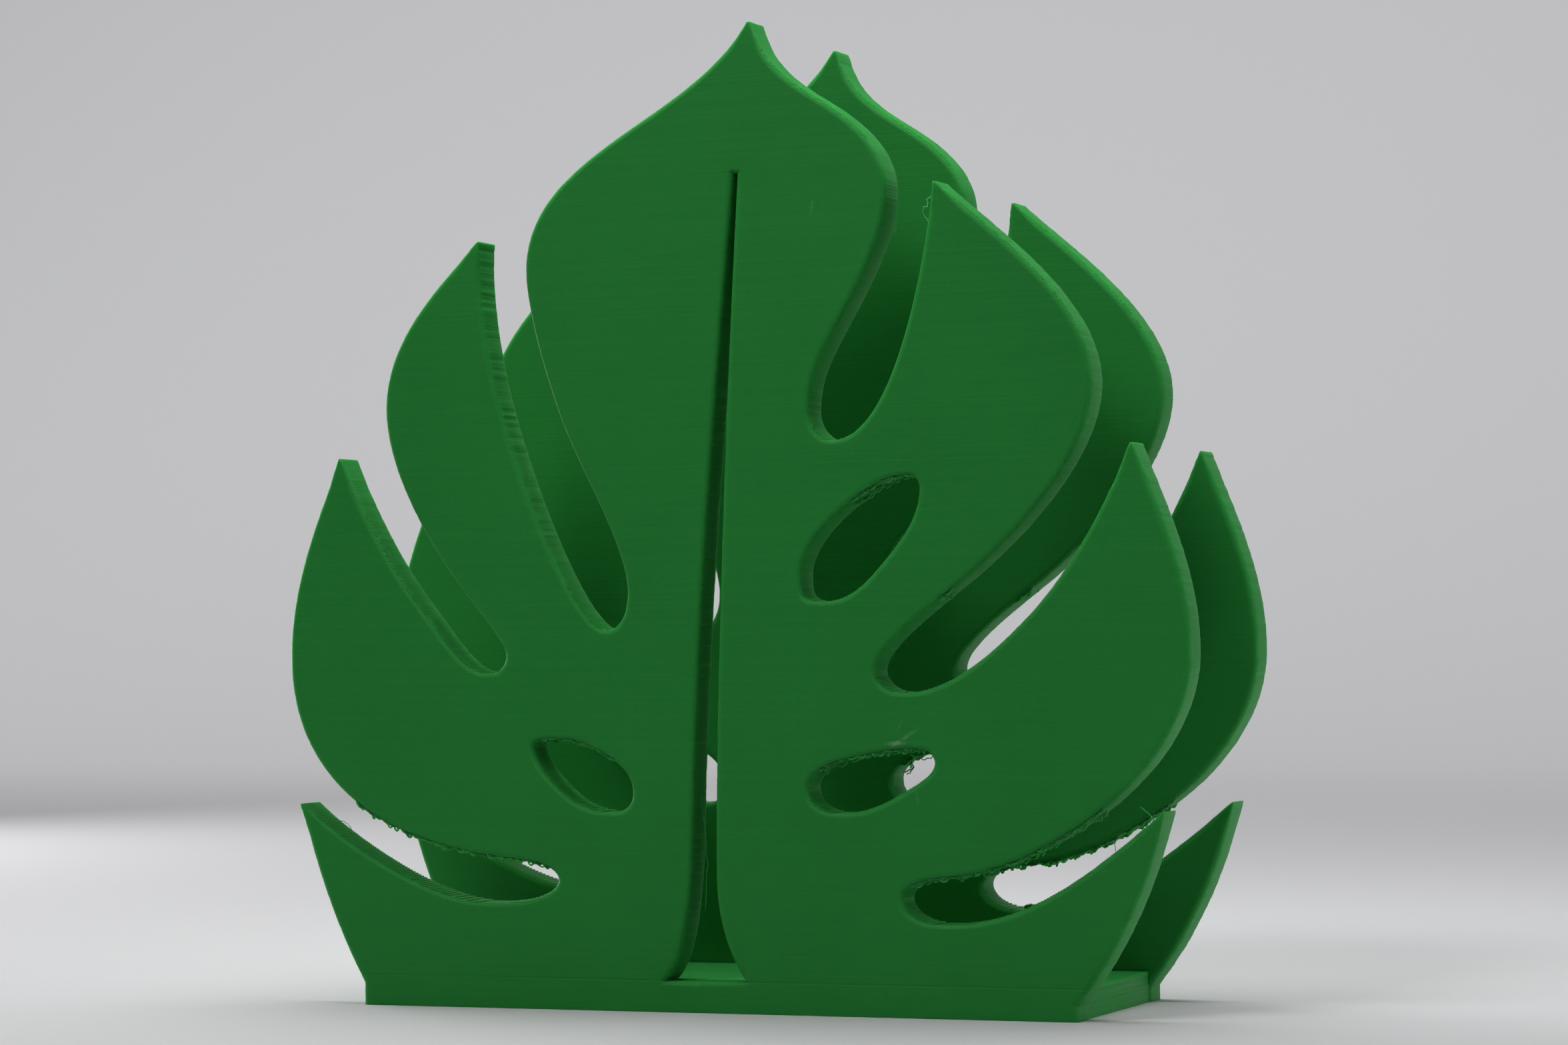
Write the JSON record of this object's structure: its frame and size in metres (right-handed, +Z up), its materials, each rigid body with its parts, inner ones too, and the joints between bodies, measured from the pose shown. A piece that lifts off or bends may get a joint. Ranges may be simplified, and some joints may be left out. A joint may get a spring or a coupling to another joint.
{
  "type": "napkin holder",
  "caption": "One-piece printed plastic napkin or letter holder: twin upright plates shaped as a split, holed tropical leaf rise from a flat rectangular base with a slot between them.",
  "frame": {"origin": "centre of the base's underside", "axes": "+Z up; the front leaf faces -Y; +X to the right of a viewer who looks at the front leaf"},
  "size_m": [0.1261, 0.035, 0.128],
  "materials": {
    "green_plastic": "leaf-green printed plastic, satin, with fine horizontal layer lines"
  },
  "bodies": {
    "root": {"napkin_holder": "green_plastic"}
  },
  "joints": []
}
